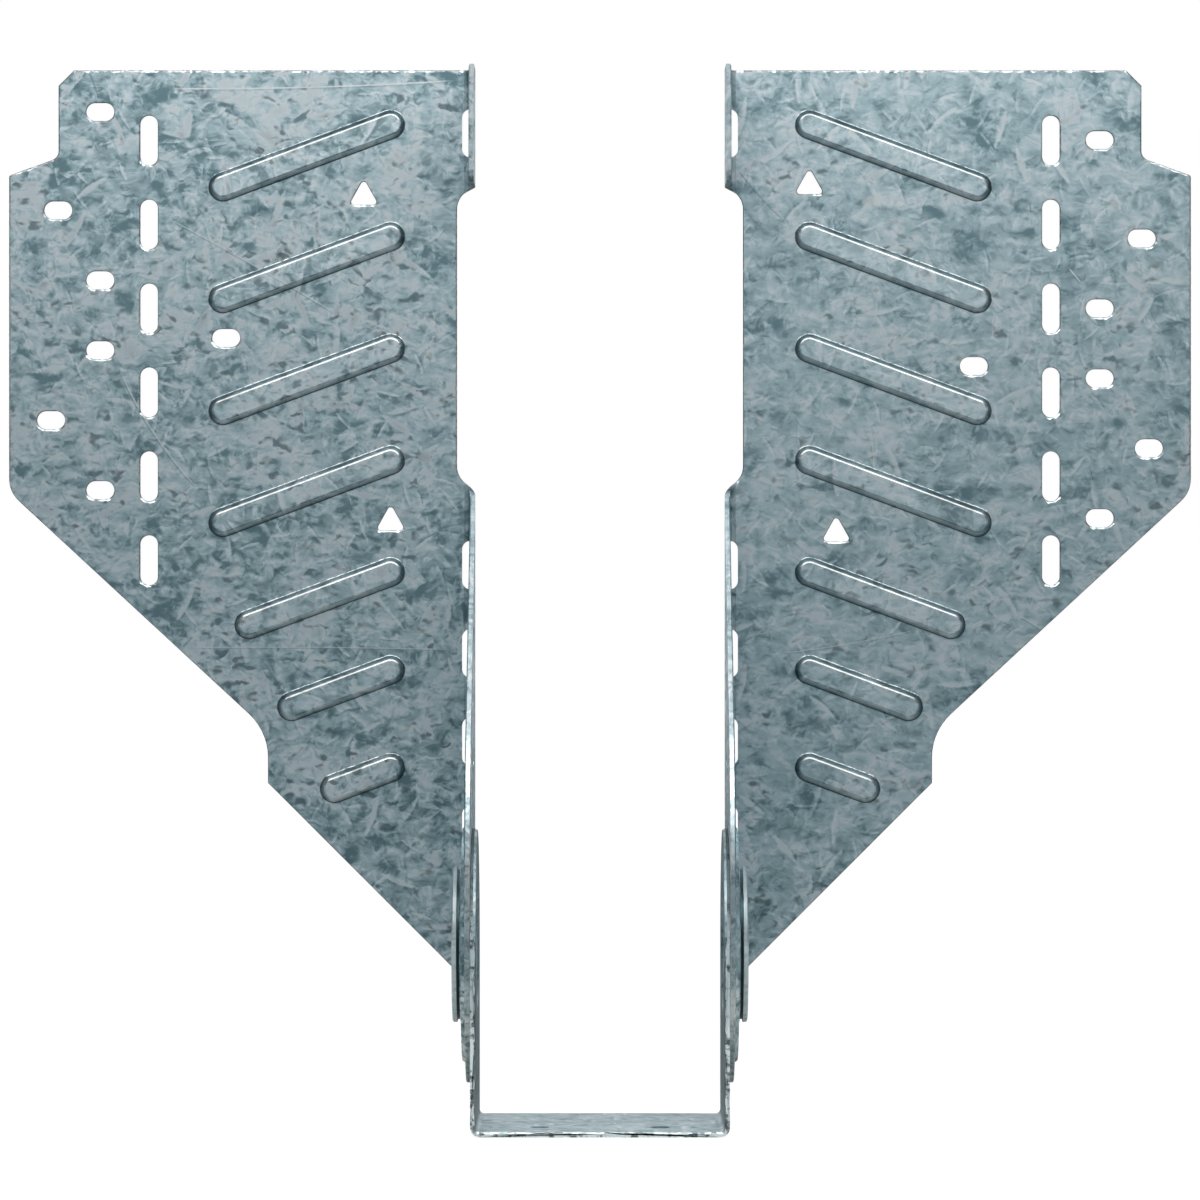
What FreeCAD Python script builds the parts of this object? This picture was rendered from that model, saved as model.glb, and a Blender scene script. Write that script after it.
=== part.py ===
import FreeCAD, Part
import math
import os

# Slope-adjustable rafter hanger: two folded brackets that are nailed to a header, and a U-shaped
# stirrup hinged between them that carries the rafter. Millimetres, +Z up. The origin is the centre of
# the stirrup's floor, on its upper face, straight under the hinge axis. The header lies towards +Y,
# the rafter comes from -Y, and X runs across the rafter.

# Sheet steel, and the rolled-over edge that the punch leaves: wide on one side, shallow on the other
sheet = 1.3
roll_width = 0.6
roll_depth = 0.28

# Stirrup
rafter_width = 60.3
strap_width = 57.0
stirrup_bend_inside = 1.15
hinge_height = 43.9
seat_nail_radius = 2.3
seat_nail_spacing = 29.4
seat_nail_forward = 14.0

# Hinge: a collar drawn from each arm turns in a hole of the bracket, and its lip holds the two together
collar_bore = 15.5
collar_wall = 1.1
collar_lead_in = 1.2
hinge_clearance = 0.08
side_play = 0.05
lip_overlap = 2.4
lip_thickness = 1.85
lip_groove_width = 0.7
lip_groove_depth = 0.7
lip_flare = 0.9
lip_bevel = 0.3
arm_land = 4.0

# Raised round pad of the bracket under the lip, and the bracket's round end
pad_width = 12.3
pad_height = 1.0
pad_slope = 0.8
rim_width = 2.4
rim_height = 0.5
end_margin = 5.0
end_land = 2.5

# Fold and side plates, depths counted from the face plate's front
face_setback = 42.0
bend_inside = 1.8
tab_depth = 24.0
tab_height = 29.7
tab_corner_round = 3.0
corner_cut = 3.9
side_height = 111.0
side_edge_angle = 45.0
side_front_round = 60.0

# Face plate outline: widths from the side plate, heights above the hinge or depths below the top
bracket_height = 262.7
plate_width = 116.7
ear_step = 12.5
ear_depth = 22.1
ear_step_drop = 4.5
ear_step_round = 2.5
ear_corner_round = 0.8
outer_edge_depth = 106.7
outer_corner_round = 7.6
waist_width = 51.2
waist_top = 51.5
waist_bottom = 38.5
waist_round = 15.0
foot_angle = 45.0
notch_strip = 1.6

# Stiffening ribs, raised towards the rafter: short ones at the bottom, counted from there up
rib_half_width = 3.55
rib_height = 1.2
rib_slope = 1.05
rib_bevel = 0.22
rib_margin = 0.6
rib_tilt = 20.4
rib_start = 20.2
rib_bottom = 42.4
rib_short_pitch = 24.75
rib_pitch = 28.3
rib_shortest = 14.2
rib_growth = 10.8
rib_slot_gap = 18.7
rib_top_margin = 8.0

# Nail holes of the face plate: short slots across, from the top one down, inset from the outer edge
nail_slot_length = 7.1
nail_slot_width = 4.6
nail_top_depth = 10.5
nail_top_gap = 24.9
nail_pitch = 17.7
nail_inset = 23.05
upper_stagger = 10.65
lower_stagger = 12.45
nail_staggers = [0.0, upper_stagger, 0.0, 0.0, lower_stagger, 0.0]
inner_nail_column = 61.8
inner_nail_depth = 67.7
right_nail_drop = 7.1

# Upright slots that weaken the plate along a bending line, inset from the outer edge
bend_slot_length = 12.65
bend_slot_width = 4.45
bend_slot_inset = 35.4
bend_slot_depth = 17.7
bend_slot_pitch = 21.25
bend_slot_edge_margin = 5.0

# Slots in the fold itself
fold_slot_length = 12.3
fold_slot_overrun = 0.3
fold_slot_round = 2.2
tab_slot_depth = 15.9
side_slot_height = 26.6
side_slot_pitch = 22.35
side_slot_count = 4

# Triangular holes: column, and depth of the apex below the top
triangle_width = 7.5
triangle_height = 6.7
triangle_round = 0.8
left_triangles = [(27.0, 27.3), (20.2, 109.7)]
right_triangles = [(20.2, 24.6), (27.0, 112.5)]

# Round nail holes for the rafter: setback of the tab's hole, then setbacks and heights above the hinge
rafter_nail_radius = 2.1
tab_nail_setback = 13.5
side_nails = [(16.0, 82.0), (16.0, 60.0), (34.0, 60.0), (25.0, 45.0), (43.0, 45.0)]

# Worked-out places
upwards = FreeCAD.Vector(0, 0, 1)
backwards = FreeCAD.Vector(0, 1, 0)
outwards = FreeCAD.Vector(1, 0, 0)
arm_inner = rafter_width / 2
arm_outer = arm_inner + sheet
side_inner = arm_outer + side_play
side_outer = side_inner + sheet
fold_x = side_outer + bend_inside
face_front = face_setback
face_back = face_front + sheet
fold_y = face_front - bend_inside
fold_length = (bend_inside + sheet / 2) * math.pi / 2
notch_x = fold_x + notch_strip
notch_round = notch_strip + fold_length
tab_bottom = bracket_height - tab_height
side_top = hinge_height + side_height
bend_slot_column = plate_width - bend_slot_inset
rib_longest = bend_slot_column - rib_slot_gap - rib_start
foot_run = waist_width - bend_inside
foot_bottom = hinge_height + waist_bottom - foot_run * math.tan(math.radians(foot_angle))
collar_radius = collar_bore + collar_wall
hole_radius = collar_radius + hinge_clearance
lip_radius = hole_radius + lip_overlap
pad_radius = hole_radius + pad_width
end_radius = pad_radius + end_margin
pad_outer = side_outer + pad_height
rim_outer = pad_outer + rim_height
lip_inner = rim_outer + side_play
lip_outer = lip_inner + lip_thickness


def line(a, b):
    return Part.LineSegment(a, b).toShape()


def rounded_wire(corners):
    """Closed wire through corners of (point, radius): each corner with a radius becomes a tangent arc."""
    spans = []
    for i, (corner, radius) in enumerate(corners):
        if radius <= 0:
            spans.append((corner, corner, None))
            continue
        to_last = (corners[i - 1][0] - corner).normalize()
        to_next = (corners[(i + 1) % len(corners)][0] - corner).normalize()
        half = to_last.getAngle(to_next) / 2
        tangent = radius / math.tan(half)
        middle = (to_last + to_next).normalize()
        arc_middle = corner + middle * (radius / math.sin(half) - radius)
        spans.append((corner + to_last * tangent, corner + to_next * tangent, arc_middle))
    edges = []
    for i, (start, end, arc_middle) in enumerate(spans):
        if arc_middle is not None:
            edges.append(Part.Arc(start, arc_middle, end).toShape())
        following = spans[(i + 1) % len(spans)][0]
        if end.distanceToPoint(following) > 1e-6:
            edges.append(line(end, following))
    return Part.Wire(edges)


def prism(corners, run):
    return Part.Face(rounded_wire(corners)).extrude(run)


def on_face(x, z, radius=0.0):
    """Corner in the plane of the face plate's front."""
    return (FreeCAD.Vector(x, face_front, z), radius)


def on_side(y, z, radius=0.0):
    """Corner in the plane of the side plate's inner surface."""
    return (FreeCAD.Vector(side_inner, y, z), radius)


def turned_ring(profile):
    """Solid of revolution about the hinge axis, from a closed profile of (radius, x, round)."""
    corners = [(FreeCAD.Vector(x, 0, hinge_height + r), rounding) for r, x, rounding in profile]
    return Part.Face(rounded_wire(corners)).revolve(upwards * hinge_height, outwards, 360)


def hinge_disc(radius):
    """Cylinder about the hinge axis that reaches through every wall of one side."""
    return Part.makeCylinder(radius, 2 * lip_outer, upwards * hinge_height, outwards)


def mirrored(shape):
    return shape.mirror(FreeCAD.Vector(0, 0, 0), outwards)


def same(a, b):
    return abs(a - b) < 1e-5


def follows(edge, place):
    """Whether points along an edge pass a test of place."""
    span = edge.LastParameter - edge.FirstParameter
    return all(place(edge.valueAt(edge.FirstParameter + share * span)) for share in (0.1, 0.5, 0.8))


def rolled_edges(solid, on_skin, on_seam, skin_part, cut_part):
    """Solid with the edges of one skin rolled over, apart from those on a seam to the next piece."""
    faces = sorted(solid.Faces, key=lambda face: not all(on_skin(v.Point) for v in face.Vertexes))
    skin_first = Part.Solid(Part.Shell(faces))
    edges = [edge for edge in skin_first.Edges if follows(edge, on_skin) and not follows(edge, on_seam)]
    return skin_first.makeChamfer(skin_part, cut_part, edges)


def face_slot(x, z, width, height):
    """Slot through the face plate with half-round ends, the long way across or upright."""
    radius = min(width, height) / 2
    corners = [(-1, -1), (1, -1), (1, 1), (-1, 1)]
    return prism(
        [on_face(x + a * width / 2, z + b * height / 2, radius) for a, b in corners],
        backwards * sheet,
    )


def nail_slot(column, depth):
    return face_slot(side_outer + column, bracket_height - depth, nail_slot_length, nail_slot_width)


def triangle_hole(x, apex):
    base = apex - triangle_height
    half = triangle_width / 2
    outline = [
        on_face(x, apex, triangle_round),
        on_face(x - half, base, triangle_round),
        on_face(x + half, base, triangle_round),
    ]
    return prism(outline, backwards * sheet)


def edge_height(x):
    """Height of the face plate's slanting outer edge at x."""
    low_x = side_outer + waist_width
    low = hinge_height + waist_top
    high = bracket_height - outer_edge_depth
    return low + (x - low_x) * (high - low) / (plate_width - waist_width)


def face_holes(nail_drop, triangles):
    holes = []
    for i, stagger in enumerate(nail_staggers):
        depth = nail_top_depth + nail_drop
        if i > 0:
            depth += nail_top_gap + (i - 1) * nail_pitch
        holes.append(nail_slot(plate_width - nail_inset + stagger, depth))
    holes.append(nail_slot(inner_nail_column, inner_nail_depth + nail_drop))

    slot_x = side_outer + bend_slot_column
    slot_z = bracket_height - bend_slot_depth
    lowest = edge_height(slot_x + bend_slot_width / 2) + bend_slot_edge_margin + bend_slot_length / 2
    while slot_z > lowest:
        holes.append(face_slot(slot_x, slot_z, bend_slot_width, bend_slot_length))
        slot_z -= bend_slot_pitch

    holes += [triangle_hole(side_outer + column, bracket_height - depth) for column, depth in triangles]
    return holes


def notch():
    """Room cut from the flat plate's inner edge, between the tab and the lower side plate."""
    inner = notch_x - 2 * notch_round
    fall = math.tan(math.radians(side_edge_angle))
    corner = side_top + notch_round * fall
    bottom_half = math.radians(90 + side_edge_angle) / 2
    bottom_round = notch_strip / math.cos(math.radians(side_edge_angle)) * math.tan(bottom_half)
    outline = [
        on_face(inner, tab_bottom),
        on_face(notch_x, tab_bottom, notch_round),
        on_face(notch_x, corner, bottom_round),
        on_face(inner, corner - (notch_x - inner) * fall),
    ]
    return prism(outline, backwards * sheet)


def face_plate(nail_drop, triangles):
    outer_x = side_outer + plate_width
    ear_x = outer_x - ear_step
    waist_x = side_outer + waist_width
    ear_bottom = bracket_height - ear_depth
    outline = [
        on_face(fold_x, bracket_height),
        on_face(ear_x - corner_cut, bracket_height),
        on_face(ear_x, bracket_height - corner_cut),
        on_face(ear_x, ear_bottom, ear_step_round),
        on_face(outer_x, ear_bottom - ear_step_drop, ear_corner_round),
        on_face(outer_x, bracket_height - outer_edge_depth, outer_corner_round),
        on_face(waist_x, hinge_height + waist_top, waist_round),
        on_face(waist_x, hinge_height + waist_bottom),
        on_face(fold_x, foot_bottom),
    ]
    plate = prism(outline, backwards * sheet).cut([notch()] + face_holes(nail_drop, triangles))

    def on_front(point):
        return same(point.y, face_front)

    def on_fold_seam(point):
        return same(point.x, fold_x)

    return rolled_edges(plate, on_front, on_fold_seam, roll_width, roll_depth)


def rafter_nail(setback, height):
    start = FreeCAD.Vector(side_inner, face_front - setback, height)
    return Part.makeCylinder(rafter_nail_radius, sheet, start, outwards)


def rolled_side(plate):
    """Side plate or tab with the edges of its outer skin rolled over, up to the fold."""

    def on_outer_skin(point):
        return same(point.x, side_outer)

    def on_fold_seam(point):
        return same(point.y, fold_y)

    return rolled_edges(plate, on_outer_skin, on_fold_seam, roll_width, roll_depth)


def side_tab():
    front = face_front - tab_depth
    outline = [
        on_side(fold_y, bracket_height),
        on_side(front + corner_cut, bracket_height),
        on_side(front, bracket_height - corner_cut),
        on_side(front, tab_bottom, tab_corner_round),
        on_side(fold_y, tab_bottom),
    ]
    nail = rafter_nail(tab_nail_setback, bracket_height - tab_height / 2)
    return rolled_side(prism(outline, outwards * sheet)).cut(nail)


def side_plate():
    """Lower side plate: a slanting front edge, and a round end about the hinge axis."""
    front = -end_radius
    drop = (fold_y - front) * math.tan(math.radians(side_edge_angle))
    bend_half = math.radians(180 - side_edge_angle) / 2
    tangent = side_front_round / math.tan(bend_half)
    low = FreeCAD.Vector(side_inner, fold_y, foot_bottom)
    centre = FreeCAD.Vector(side_inner, 0, hinge_height)
    to_low = low - centre
    bearing = math.atan2(to_low.z, to_low.y) - math.acos(end_radius / to_low.Length)
    half_way = (bearing - math.pi) / 2

    def on_end(angle):
        return centre + FreeCAD.Vector(0, math.cos(angle), math.sin(angle)) * end_radius

    top = on_side(fold_y, side_top)[0]
    corner = on_side(front, side_top - drop)[0]
    to_top = (top - corner).normalize()
    inwards = (to_top - upwards).normalize()
    round_start = corner + to_top * tangent
    round_end = corner - upwards * tangent
    round_middle = corner + inwards * (side_front_round / math.sin(bend_half) - side_front_round)
    outline = Part.Wire([
        line(top, round_start),
        Part.Arc(round_start, round_middle, round_end).toShape(),
        line(round_end, on_end(math.pi)),
        Part.Arc(on_end(math.pi), on_end(half_way), on_end(bearing)).toShape(),
        line(on_end(bearing), low),
        line(low, top),
    ])
    nails = [rafter_nail(setback, hinge_height + height) for setback, height in side_nails]
    return rolled_side(Part.Face(outline).extrude(outwards * sheet)).cut(nails)


def on_fold(radius, share, z):
    """Point of the fold at a radius, with share 0 at the face plate and 1 at the side plate."""
    angle = share * math.pi / 2
    return FreeCAD.Vector(fold_x - radius * math.sin(angle), fold_y + radius * math.cos(angle), z)


def fold(bottom, top):
    """Quarter-round fold between the face plate and a side plate."""
    outer = bend_inside + sheet
    section = Part.Wire([
        Part.Arc(*[on_fold(bend_inside, share, bottom) for share in (0, 0.5, 1)]).toShape(),
        line(on_fold(bend_inside, 1, bottom), on_fold(outer, 1, bottom)),
        Part.Arc(*[on_fold(outer, share, bottom) for share in (1, 0.5, 0)]).toShape(),
        line(on_fold(outer, 0, bottom), on_fold(bend_inside, 0, bottom)),
    ])
    return Part.Face(section).extrude(upwards * (top - bottom))


def fold_trim(height_at, run):
    """Room over the fold that starts on the curve height_at(distance from the notch's edge)."""
    curves = []
    for radius in (bend_inside / 2, bend_inside + 2 * sheet):
        shares = [i / 8 for i in range(9)]
        points = [on_fold(radius, share, height_at(notch_strip + share * fold_length)) for share in shares]
        curve = Part.BSplineCurve()
        curve.interpolate(points)
        curves.append(curve.toShape())
    return Part.makeRuledSurface(*curves).extrude(upwards * run)


def upper_fold():
    def notch_curve(distance):
        return tab_bottom - notch_round + math.sqrt(notch_round ** 2 - (notch_round - distance) ** 2)

    return fold(tab_bottom - notch_round, bracket_height).cut(fold_trim(notch_curve, -tab_height))


def lower_fold():
    def edge_line(distance):
        return side_top + (notch_round - distance) * math.tan(math.radians(side_edge_angle))

    return fold(foot_bottom, edge_line(0)).cut(fold_trim(edge_line, tab_height))


def fold_slot(height):
    """Slot along the fold with rounded ends, reaching a little into both plates."""
    half = fold_slot_length / 2
    face_edge = fold_x + fold_slot_overrun
    side_edge = fold_y - fold_slot_overrun
    inner = side_inner - sheet
    back = face_back + sheet
    from_front = prism(
        [
            on_face(inner, height - half),
            on_face(face_edge, height - half, fold_slot_round),
            on_face(face_edge, height + half, fold_slot_round),
            on_face(inner, height + half),
        ],
        backwards * (back - side_edge),
    ).translated(backwards * (side_edge - face_front))
    from_side = prism(
        [
            on_side(back, height - half),
            on_side(side_edge, height - half, fold_slot_round),
            on_side(side_edge, height + half, fold_slot_round),
            on_side(back, height + half),
        ],
        outwards * (face_edge - inner),
    ).translated(outwards * (inner - side_inner))
    return from_front.common(from_side)


def rib_places():
    """Inner and outer centre of each rib on the plate's front, from the bottom one up."""
    places = []
    fall = math.tan(math.radians(rib_tilt))
    height = hinge_height + rib_bottom
    run = rib_shortest
    while height < bracket_height - rib_top_margin - rib_half_width:
        inner = FreeCAD.Vector(side_outer + rib_start, face_front, height)
        places.append((inner, inner + FreeCAD.Vector(run, 0, -run * fall)))
        longer = run + rib_growth
        height += rib_short_pitch if longer < rib_longest else rib_pitch
        run = min(longer, rib_longest)
    return places


def rib_section():
    """Half section of a rib as (distance from its middle, depth behind the plate's front)."""
    top = rib_half_width - rib_slope
    steepness = math.atan2(rib_height, rib_slope)
    tuck = sheet * math.tan(steepness / 2)
    bevel_run = rib_bevel * math.cos(steepness)
    bevel_rise = rib_bevel * math.sin(steepness)
    edge = rib_half_width + rib_margin
    return [
        (0, -rib_height),
        (top - rib_bevel, -rib_height),
        (top + bevel_run, -rib_height + bevel_rise),
        (rib_half_width - bevel_run, -bevel_rise),
        (rib_half_width + rib_bevel, 0),
        (edge, 0),
        (edge, sheet),
        (rib_half_width - tuck, sheet),
        (top - tuck, sheet - rib_height),
        (0, sheet - rib_height),
    ]


def rib(start, end):
    """Formed rib with a margin of flat plate around it."""
    along = end - start
    across = backwards.cross(along).normalize()
    half = Part.Face(rounded_wire([(start + across * r + backwards * y, 0) for r, y in rib_section()]))
    bar = half.extrude(along)
    near_end = half.revolve(start, backwards, 180)
    far_end = half.translated(along).revolve(end, backwards, -180)
    return bar.fuse([bar.mirror(start, across), near_end, far_end]).removeSplitter()


def rib_opening(start, end):
    """The piece of flat plate that a rib takes the place of."""
    radius = rib_half_width + rib_margin
    along = (end - start).normalize() * radius
    across = backwards.cross(along)
    corners = [start - along + across, end + along + across, end + along - across, start - along - across]
    return prism([(corner, radius) for corner in corners], backwards * sheet)


def bracket_hinge():
    """Raised pad of the bracket about the hinge axis, with a short rim around its hole."""
    foot = pad_radius + pad_slope / 2
    top = pad_radius - pad_slope / 2
    tuck = sheet * math.tan(math.atan2(pad_height, pad_slope) / 2)
    rim = hole_radius + rim_width
    return turned_ring([
        (end_radius - end_land, side_inner, 0),
        (end_radius - end_land, side_outer, 0),
        (foot, side_outer, 0),
        (top, pad_outer, 0),
        (rim + rim_height, pad_outer, 0),
        (rim, rim_outer, 0),
        (hole_radius, rim_outer, 0),
        (hole_radius, side_inner + pad_height, 0),
        (top - tuck, side_inner + pad_height, 0),
        (foot - tuck, side_inner, 0),
    ])


def bracket(nail_drop, triangles):
    """One bracket on the +X side, its face nail holes lowered by nail_drop."""
    body = face_plate(nail_drop, triangles).fuse([upper_fold(), lower_fold(), side_tab(), side_plate()])
    openings = [fold_slot(bracket_height - tab_slot_depth)]
    for i in range(side_slot_count):
        openings.append(fold_slot(hinge_height + side_slot_height + i * side_slot_pitch))
    openings.append(hinge_disc(end_radius - end_land))
    openings += [rib_opening(*place) for place in rib_places()]
    formed = [bracket_hinge()] + [rib(*place) for place in rib_places()]
    return body.cut(openings).fuse(formed).removeSplitter()


def arm_hinge():
    """Collar drawn from the arm about the hinge axis, its lip rolled over the bracket's rim with a groove."""
    land = collar_radius + arm_land
    return turned_ring([
        (land, arm_inner, 0),
        (collar_bore, arm_inner, collar_lead_in),
        (collar_bore, lip_outer - lip_flare, 0),
        (collar_bore + lip_flare, lip_outer, 0),
        (lip_radius - lip_bevel, lip_outer, 0),
        (lip_radius, lip_outer - lip_bevel, 0),
        (lip_radius, lip_inner + lip_groove_width, 0),
        (lip_radius - lip_groove_depth, lip_inner + lip_groove_width, 0),
        (lip_radius - lip_groove_depth, lip_inner, 0),
        (collar_radius, lip_inner, 0),
        (collar_radius, arm_outer, 0),
        (land, arm_outer, 0),
    ])


def stirrup_half():
    """The stirrup's +X half: half the floor, one bend, and one arm with its collar."""
    half_strap = strap_width / 2
    bend_x = arm_inner - stirrup_bend_inside
    front = -half_strap

    def on_bend(radius, share):
        angle = share * math.pi / 2
        across = bend_x + radius * math.sin(angle)
        return FreeCAD.Vector(across, front, stirrup_bend_inside - radius * math.cos(angle))

    outer = stirrup_bend_inside + sheet
    section = Part.Wire([
        Part.Arc(*[on_bend(stirrup_bend_inside, share) for share in (0, 0.5, 1)]).toShape(),
        line(on_bend(stirrup_bend_inside, 1), on_bend(outer, 1)),
        Part.Arc(*[on_bend(outer, share) for share in (1, 0.5, 0)]).toShape(),
        line(on_bend(outer, 0), on_bend(stirrup_bend_inside, 0)),
    ])
    bend = Part.Face(section).extrude(backwards * strap_width)
    floor = Part.makeBox(bend_x, strap_width, sheet, FreeCAD.Vector(0, front, -sheet))
    arm = Part.makeBox(
        sheet,
        strap_width,
        hinge_height - stirrup_bend_inside,
        FreeCAD.Vector(arm_inner, front, stirrup_bend_inside),
    )
    arm_end = Part.makeCylinder(half_strap, sheet, FreeCAD.Vector(arm_inner, 0, hinge_height), outwards)
    nail_place = FreeCAD.Vector(seat_nail_spacing / 2, -seat_nail_forward, -sheet)
    nail = Part.makeCylinder(seat_nail_radius, sheet, nail_place)
    strap = floor.fuse([bend, arm, arm_end]).removeSplitter()

    def on_inner_skin(point):
        to_bend = math.hypot(point.x - bend_x, point.z - stirrup_bend_inside)
        on_floor = same(point.z, 0) and point.x < bend_x
        return on_floor or same(point.x, arm_inner) or same(to_bend, stirrup_bend_inside)

    def off_the_cut(point):
        to_axis = math.hypot(point.y, point.z - hinge_height)
        return not (same(abs(point.y), half_strap) or same(to_axis, half_strap))

    strap = rolled_edges(strap, on_inner_skin, off_the_cut, roll_depth, roll_width)
    return strap.cut([nail, hinge_disc(collar_radius + arm_land)]).fuse(arm_hinge())


def seat_stirrup():
    half = stirrup_half()
    return half.fuse(mirrored(half)).removeSplitter()


def export(shape, name):
    solid = shape.Solids[0]
    print(name, "solids", len(shape.Solids), "valid", solid.isValid(), "volume", round(solid.Volume, 1))
    solid.exportStep("parts/" + name + ".step")


os.makedirs("parts", exist_ok=True)
export(seat_stirrup(), "seat_stirrup")
export(mirrored(bracket(0.0, left_triangles)), "left_bracket")
export(bracket(right_nail_drop, right_triangles), "right_bracket")
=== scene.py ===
import math

import bmesh
import bpy
from bpy.props import FloatProperty, FloatVectorProperty, IntProperty, PointerProperty
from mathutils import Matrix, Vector


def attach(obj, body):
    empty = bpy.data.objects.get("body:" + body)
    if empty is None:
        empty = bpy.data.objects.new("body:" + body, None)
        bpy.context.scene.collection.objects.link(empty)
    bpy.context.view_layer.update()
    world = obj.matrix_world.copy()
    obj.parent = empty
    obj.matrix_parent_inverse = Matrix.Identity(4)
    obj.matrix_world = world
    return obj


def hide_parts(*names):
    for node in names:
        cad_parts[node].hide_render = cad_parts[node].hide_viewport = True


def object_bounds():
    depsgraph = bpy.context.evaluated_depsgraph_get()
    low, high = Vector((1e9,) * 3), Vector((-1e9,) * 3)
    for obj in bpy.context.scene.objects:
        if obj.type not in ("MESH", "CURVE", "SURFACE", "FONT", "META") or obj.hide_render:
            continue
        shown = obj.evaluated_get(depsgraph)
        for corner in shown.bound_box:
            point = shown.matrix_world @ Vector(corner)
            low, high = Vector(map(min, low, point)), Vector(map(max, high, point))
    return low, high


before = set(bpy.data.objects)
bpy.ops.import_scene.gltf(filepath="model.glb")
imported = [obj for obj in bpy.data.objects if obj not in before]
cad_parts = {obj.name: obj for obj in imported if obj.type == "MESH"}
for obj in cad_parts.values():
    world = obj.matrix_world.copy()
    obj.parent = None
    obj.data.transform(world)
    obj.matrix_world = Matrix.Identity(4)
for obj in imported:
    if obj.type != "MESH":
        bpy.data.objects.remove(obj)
cad_low, cad_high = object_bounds()

bl_info = {
    "name": "Rafter hanger",
    "version": (1, 0, 0),
    "blender": (4, 5, 0),
    "location": "View3D > Sidebar > Hanger",
    "description": "Dresses a hinged rafter hanger in spangled zinc and sets it in a studio",
    "category": "Object",
}

# The sheet's own sizes, as the solids have them, in metres.
FACE_FRONT = 0.042
SIDE_OUTER = 0.0328
STRAP_HALF = 0.0285
ROLL_DEPTH = 0.00028
RIB_BEVEL_RISE = 0.00017
RIB_HEIGHT = 0.0012
RIB_TOP = FACE_FRONT - RIB_HEIGHT
BEND_REACH = 0.0026
HINGE_HEIGHT = 0.0439
LIP_INNER_RADIUS = 0.0157
LIP_START = 0.0333
GROOVE_END = 0.03515
ARM_END_LOW = 0.02

# How near counts as level with a rib's top, and as one corner.
CREST_GAP = 0.0001
MERGE_GAP = 1e-6

# How squarely a face looks along an axis: a rolled strip, a rib's slope, a flat and an upright wall.
# Then the most that a smooth curve and a flat turn from one face to the next.
ROLL_LEAN = (0.86, 0.95)
SLOPE_LEAN = (0.5, 0.8)
FLAT_LEAN = 0.999
UPRIGHT_LEAN = 0.1
SMOOTH_TURN = math.radians(20)
FLAT_TURN = math.radians(0.5)

# Narrow slanting strips: the axis that the flat beside them faces, and their reach along it, both ways.
BRACKET_STRIPS = {
    "rib crest": (1, RIB_TOP, RIB_TOP + RIB_BEVEL_RISE),
    "rib foot": (1, FACE_FRONT - RIB_BEVEL_RISE, FACE_FRONT),
    "face edge": (1, FACE_FRONT, FACE_FRONT + ROLL_DEPTH),
    "side edge": (0, SIDE_OUTER - ROLL_DEPTH, SIDE_OUTER),
}
STRAP_STRIPS = {"strap edge": (1, STRAP_HALF - ROLL_DEPTH, STRAP_HALF)}

# How far the line of a strip strays, in scallop depths: beside a wall that looks down, and one that looks up.
STRAY = {
    "face edge": (0.25, 1.0),
    "rib foot": (0.45, 0.2),
    "side edge": (0.1, 0.3),
    "strap edge": (0.9, 1.6),
}

# The noise at which a scallop keeps to the line, and how far it swings beyond that.
SWING_MIDDLE = 0.6
SWING_GAIN = 4.0

# How much narrower a strip is drawn, how much of that it is spared beside an upward wall, and how soon a wall
# counts as upward.
NARROWED = {"face edge": 0.0004, "rib foot": 0.0, "side edge": 0.0004, "strap edge": 0.0003}
UPWARD_SPARED = 0.85
UPWARD_GAIN = 2

# How pale the zinc gathers along a strip or a rib's unbroken crest, and how much painted shade darkens the
# strip.
RIM_SHINE = {"face edge": 1.0, "rib foot": 0.62, "side edge": 0.8, "strap edge": 0.75}
UNBROKEN_SHINE = 2.0
RIM_SHADE = {"face edge": 0.5, "side edge": 0.0, "strap edge": 0.6}

# How bare a sheared wall is, with pits beyond 1, and how much painted shade darkens it at least and at most.
# Walls that look up take more painted shade, which dims the light they catch.
WALL_CUT = {"face edge": 1.0, "side edge": 0.25, "strap edge": 2.0}
WALL_SHADE = {"face edge": (0.0, 0.85), "side edge": (0.25, 0.3), "strap edge": (0.0, 0.85)}
COLLAR_CUT = 1.0
COLLAR_SHADE = (0.0, 0.5)
UPWARD_SHADE = 2.0

# How much painted shade darkens a rib's slope at its crest and at its foot, and then other places.
UPPER_SLOPE_SHADE = (0.7, 1.0)
SLOPE_END_SHADE = (0.5, 0.95)
LOWER_SLOPE_SHADE = (0.0, 0.4)
UPPER_FOOT_SHADE = 1.0
LOWER_FOOT_SHADE = 0.9
LOWER_CREST_SHADE = 0.3
BEND_SHADE = 0.35
GROOVE_SHADE = 1.0
ARM_INSIDE_SHADE = 0.5

# How bare a rib's top is, and how much painted light brightens its lower slope at the crest and at the foot.
RIB_TOP_PALE = 0.1
LOWER_SLOPE_LIGHT = (1.0, 0.4)

# The marks that the coat reads, two of them painted shade, and how far large faces outweigh small ones in the
# shading.
MARKS = ("rim", "crease", "cut", "painted_shade")
EVEN_SHADING = 100

# The spangle's patterns: how much denser than the grains each is, and how far it lightens or darkens.
DENSITY = {
    "wander": 1.2,
    "large": 0.7,
    "middling": 1.1,
    "small": 1.9,
    "broad": 0.35,
    "rising": 1.3,
    "falling": 1.8,
    "leaves": 0.62,
    "splinters": 1.05,
    "flecks": 2.3,
}
WEIGHT = {
    "large": 1.0,
    "middling": 1.1,
    "small": 1.0,
    "broad": 0.7,
    "rising": 0.7,
    "falling": 0.5,
    "leaves": 0.55,
    "leaf banks": -0.13,
    "splinters": 0.34,
    "splinter banks": -0.1,
}
WANDER_REACH = 0.003
RISING_SLANT = math.radians(-38)
FALLING_SLANT = math.radians(55)
FEATHER_STRETCH = (2.6, 2.6, 0.6)
FEATHER_SHADE = 0.2
LEAF_TAPER = 1.6
LEAF_NARROWNESS = 7.5
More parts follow.
